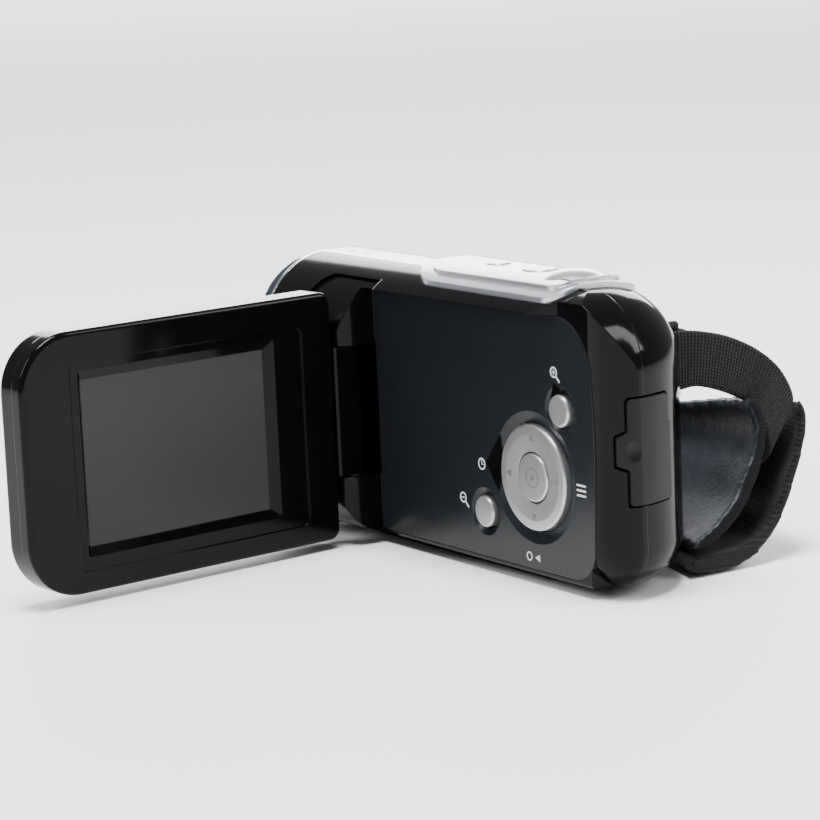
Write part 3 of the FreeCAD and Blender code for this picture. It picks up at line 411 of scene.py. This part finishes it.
# ================================================================ marks on the controls
INK = 0.00004                         # thickness of the print
ZOOM_IN_AT = (36.3, 39.3)             # marks on the plate: along the body and up, in mm
ZOOM_OUT_AT = (7.2, 12.8)
TIMER_Y = 13.5
TIMER_Z = 19.9
LIST_Y = 43.2
LIST_Z = 19.2
PLAY_Y = 27.2
PLAY_Z = 5.0
ARROW_REACH = 7.1                     # from the middle of the direction pad
POINTERS = [[(14.9, 20.4), (18.6, 15.4), (19.6, 26.2)], [(36.2, 37.5), (34.8, 33.4), (38.6, 36.2)]]


def plate_mark(name, shapes):
    return flat_mark(name, shapes, PLATE_FACE, INK, MARK, "camera")


def magnifier(y, z, plus):
    shapes = ring_shapes(y, z, 1.0, 0.72)
    shapes.append(bar(y + 1.15, z - 1.15, 1.4, 0.36, math.radians(-45)))
    shapes.append(bar(y, z, 1.0, 0.22))
    if plus:
        shapes.append(bar(y, z, 0.22, 1.0))
    return shapes


plate_mark("mark_zoom_in", magnifier(*ZOOM_IN_AT, True))
plate_mark("mark_zoom_out", magnifier(*ZOOM_OUT_AT, False))
hands = [bar(TIMER_Y, TIMER_Z + 0.35, 0.2, 0.8), bar(TIMER_Y + 0.25, TIMER_Z - 0.05, 0.6, 0.2)]
plate_mark("mark_timer", ring_shapes(TIMER_Y, TIMER_Z, 1.1, 0.85) + hands)
plate_mark("mark_list", [bar(LIST_Y, LIST_Z + dz, 2.6, 0.36) for dz in (-0.9, 0.0, 0.9)])
play = ring_shapes(PLAY_Y, PLAY_Z, 0.85, 0.6) + [triangle(PLAY_Y + 2.6, PLAY_Z, 0.9, math.pi)]
plate_mark("mark_play", play)
flat_mark("mark_pointers", POINTERS, PLATE_FACE, INK, MATERIALS["black_gloss"], "camera")

cy, cz = PAD_CENTRE
arrows = []
for k in range(4):
    turn = math.pi / 2 * k
    y, z = cy + ARROW_REACH * math.cos(turn), cz + ARROW_REACH * math.sin(turn)
    arrows.append(triangle(y, z, 0.85, turn))
flat_mark("pad_arrows", arrows, PAD_FACE - 0.00010, 0.00012, ENGRAVED, "direction_key")
ok_mark = ring_shapes(cy, cz, 1.9, 1.6) + ring_shapes(cy, cz, 0.55, 0.0, 16)
flat_mark("ok_dot", ok_mark, OK_FACE, INK, ENGRAVED, "ok_key")

# ================================================================ strap
# Each station of a band is its upper and its lower edge, in mm.
WEB_REAR = [((-20.0, 35.6, 43.1), (-20.0, 35.6, 32.3)), ((-23.9, 36.5, 42.6), (-22.9, 36.5, 32.6)),
            ((-29.5, 37.5, 41.1), (-27.3, 37.5, 31.3)), ((-35.4, 38.5, 38.1), (-31.6, 38.5, 29.2)),
            ((-39.5, 39.8, 34.2), (-33.6, 39.8, 27.2)), ((-42.0, 40.2, 29.0), (-35.4, 40.2, 22.6)),
            ((-42.8, 37.0, 25.2), (-37.4, 37.5, 17.3)), ((-43.6, 28.0, 23.0), (-39.6, 28.0, 13.6))]
WEB_FRONT = [((-20.0, -36.4, 35.5), (-20.0, -36.4, 24.5)), ((-29.0, -32.8, 33.2), (-28.0, -32.8, 22.4)),
             ((-36.0, -24.0, 29.0), (-34.2, -24.0, 18.4)), ((-40.4, -13.0, 22.6), (-38.6, -13.0, 12.0)),
             ((-41.2, -4.0, 21.8), (-38.8, -4.0, 11.4))]
LUG_X = -20.0
LUG_R = 1.65                          # radius of the loop round a lug's bar
LUG_REAR_Y = 34.0
LUG_FRONT_Y = -38.0
WEB_HALF = 0.65                       # half the thickness of the webbing
WEAVE_STEP = 0.62
CORDS = 17.0                          # cords across the webbing


def spline_points(points, steps):
    """Smooth curve through the points, with even steps between each pair."""
    pts = [Vector(p) for p in points]
    pts = [2 * pts[0] - pts[1]] + pts + [2 * pts[-1] - pts[-2]]
    out = []
    for i in range(1, len(pts) - 2):
        p0, p1, p2, p3 = pts[i - 1:i + 3]
        for k in range(steps):
            t = k / steps
            out.append(0.5 * (2 * p1 + (p2 - p0) * t + (2 * p0 - 5 * p1 + 4 * p2 - p3) * t ** 2
                              + (3 * p1 - p0 - 3 * p2 + p3) * t ** 3))
    out.append(pts[-2])
    return out


def webbing(name, node, stations, lug_y):
    """Flat woven band: a loop round the lug's bar, then the run to the pad."""
    upper = spline_points([a for a, b in stations], 10)
    lower = spline_points([b for a, b in stations], 10)
    loop_up = []
    loop_low = []
    turns = 16
    for k in range(turns):
        turn = math.radians(-250 + 340 * k / turns)
        x = LUG_X + LUG_R * math.cos(turn)
        y = lug_y + LUG_R * math.sin(turn)
        loop_up.append(Vector((x, y, stations[0][0][2])))
        loop_low.append(Vector((x, y, stations[0][1][2])))
    upper = loop_up + upper
    lower = loop_low + lower
    profile = [(0.0, 0.0), (0.02, 0.75), (0.06, 1.0)] + [(k / 12, 1.0) for k in range(1, 12)]
    profile += [(0.94, 1.0), (0.98, 0.75), (1.0, 0.0)]
    loop = [(u, h) for u, h in profile] + [(u, -h) for u, h in reversed(profile[1:-1])]
    verts = []
    uvs = []
    run = 0.0
    count = len(loop)
    for i, (a, b) in enumerate(zip(upper, lower)):
        j, k = max(i - 1, 0), min(i + 1, len(upper) - 1)
        ahead = ((upper[k] + lower[k]) - (upper[j] + lower[j])).normalized()
        across = (b - a).normalized()
        normal = ahead.cross(across).normalized()
        if i:
            run += ((upper[i] + lower[i]) - (upper[i - 1] + lower[i - 1])).length / 2
        for u, h in loop:
            verts.append((a.lerp(b, u) + normal * (WEB_HALF * h)) * MM)
            uvs.append((run / WEAVE_STEP, u * CORDS))
    faces = []
    for i in range(len(upper) - 1):
        for k in range(count):
            n = (k + 1) % count
            faces.append([i * count + k, i * count + n, (i + 1) * count + n, (i + 1) * count + k])
    faces.append(list(range(count)))
    last = (len(upper) - 1) * count
    faces.append([last + k for k in reversed(range(count))])
    obj = mesh_piece(name, verts, faces, WEBBING, "camera")
    layer = obj.data.uv_layers.new(name="weave")
    for loop_item in obj.data.loops:
        layer.data[loop_item.index].uv = uvs[loop_item.vertex_index]
    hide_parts(node)
    return obj


webbing("webbing_rear", "strap_web_rear", WEB_REAR, LUG_REAR_Y)
webbing("webbing_front", "strap_web_front", WEB_FRONT, LUG_FRONT_Y)


def soft_copy(name, node, voxel, puff, cap):
    """The CAD solid's form remeshed and smoothed, and blown up a little as cloth if puff is set."""
    mesh = NODES[node].data.copy()
    obj = bpy.data.objects.new(name, mesh)
    bpy.context.collection.objects.link(obj)
    bpy.context.view_layer.objects.active = obj
    remesh = obj.modifiers.new("remesh", "REMESH")
    remesh.mode = "VOXEL"
    remesh.voxel_size = voxel
    bpy.ops.object.modifier_apply(modifier="remesh")
    rest = [v.co.copy() for v in obj.data.vertices]
    if puff:
        scene = bpy.context.scene
        cloth = obj.modifiers.new("cloth", "CLOTH")
        cloth.settings.use_pressure = True
        cloth.settings.uniform_pressure_force = puff
        cloth.settings.effector_weights.gravity = 0.0
        cloth.settings.quality = 6
        cloth.settings.mass = 0.1
        cloth.point_cache.frame_start = 1
        cloth.point_cache.frame_end = 20
        scene.frame_start, scene.frame_end = 1, 20
        for step in range(1, 21):
            scene.frame_set(step)
        depsgraph = bpy.context.evaluated_depsgraph_get()
        settled = [v.co.copy() for v in obj.evaluated_get(depsgraph).data.vertices]
        obj.modifiers.remove(cloth)
        scene.frame_set(1)
        for vertex, start, end in zip(obj.data.vertices, rest, settled):
            move = end - start
            if move.length > cap:
                move = move.normalized() * cap
            vertex.co = start + move
    smooth = obj.modifiers.new("smooth", "SMOOTH")
    smooth.factor = 0.5
    smooth.iterations = 4
    bpy.ops.object.modifier_apply(modifier="smooth")
    subd = obj.modifiers.new("subd", "SUBSURF")
    subd.levels = subd.render_levels = 1
    bpy.ops.object.modifier_apply(modifier="subd")
    for poly in obj.data.polygons:
        poly.use_smooth = True
    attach(obj, "camera")
    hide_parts(node)
    return obj


pad = soft_copy("pad_cushion", "strap_pad", 0.0009, 4.0, 0.0008)
pad.data.materials.clear()
pad.data.materials.append(MATERIALS["pad_leather"])
binding = pad.data.attributes.new("binding", "FLOAT", "POINT")
for vertex in pad.data.vertices:
    inward = vertex.normal.x + 0.35 * max(0.0, vertex.normal.z)
    binding.data[vertex.index].value = min(1.0, max(0.0, 0.5 - (inward - 0.6) * 1.6))

cover = soft_copy("cover_cloth", "strap_cover", 0.0008, 0.0, 0.0)
cover.data.materials.clear()
cover.data.materials.append(KNIT)

# ================================================================ studio
FLOOR_Z = min(0.0, before[0].z)


def plane(name, size, location, rotation, material):
    bpy.ops.mesh.primitive_plane_add(size=size, location=location, rotation=rotation)
    obj = bpy.context.object
    obj.name = name
    obj.data.materials.append(material)
    return obj


floor_mat, _, floor_shader = new_material("floor_paper")
floor_shader.inputs["Base Color"].default_value = (0.95, 0.95, 0.95, 1)
floor_shader.inputs["Roughness"].default_value = 0.6
plane("floor", 8.0, (0, 0, FLOOR_Z), (0, 0, 0), floor_mat)


def area_light(name, location, target, size, power, colour=(1, 1, 1), size_y=None):
    data = bpy.data.lights.new(name, "AREA")
    data.energy = power
    data.color = colour
    data.size = size
    if size_y:
        data.shape = "RECTANGLE"
        data.size_y = size_y
    obj = bpy.data.objects.new(name, data)
    obj.location = location
    obj.rotation_euler = (Vector(target) - Vector(location)).to_track_quat("-Z", "Y").to_euler()
    bpy.context.collection.objects.link(obj)
    return obj


area_light("key_top", (0.10, 0.05, 1.1), (0, 0, 0.03), 0.42, 30.0, size_y=0.55)
area_light("fill_left", (1.3, -0.5, 1.0), (0, 0, 0.03), 0.5, 14.0, size_y=0.9)
area_light("rim_rear", (-0.9, 0.7, 0.75), (0, 0.02, 0.03), 0.25, 9.0, size_y=0.8)
area_light("back_card", (-1.6, -2.4, 0.95), (0, 0, 0.03), 2.4, 80.0, size_y=1.1)

world = bpy.data.worlds.new("studio")
world.use_nodes = True
world.node_tree.nodes["Background"].inputs["Color"].default_value = (0.95, 0.96, 1.0, 1)
world.node_tree.nodes["Background"].inputs["Strength"].default_value = 0.35
bpy.context.scene.world = world

# The camera's place, and the directions of its right, its top and its back.
CAMERA_AT = (0.324675, 0.462897, 0.128163)
LENS = 135.45
SENSOR = 36.0
right = Vector((-0.8261014, 0.5618192, -0.0437677))
up = Vector((-0.1343237, -0.1208892, 0.9835359))
back = Vector((0.5472783, 0.8183795, 0.1753324))

camera_data = bpy.data.cameras.new("view")
camera_data.lens = LENS
camera_data.sensor_width = SENSOR
camera_data.clip_start = 0.02
camera_data.clip_end = 30.0
camera = bpy.data.objects.new("view", camera_data)
turned = Matrix((right, up, back)).transposed().to_4x4()
camera.matrix_world = Matrix.Translation(CAMERA_AT) @ turned
bpy.context.collection.objects.link(camera)
bpy.context.scene.camera = camera
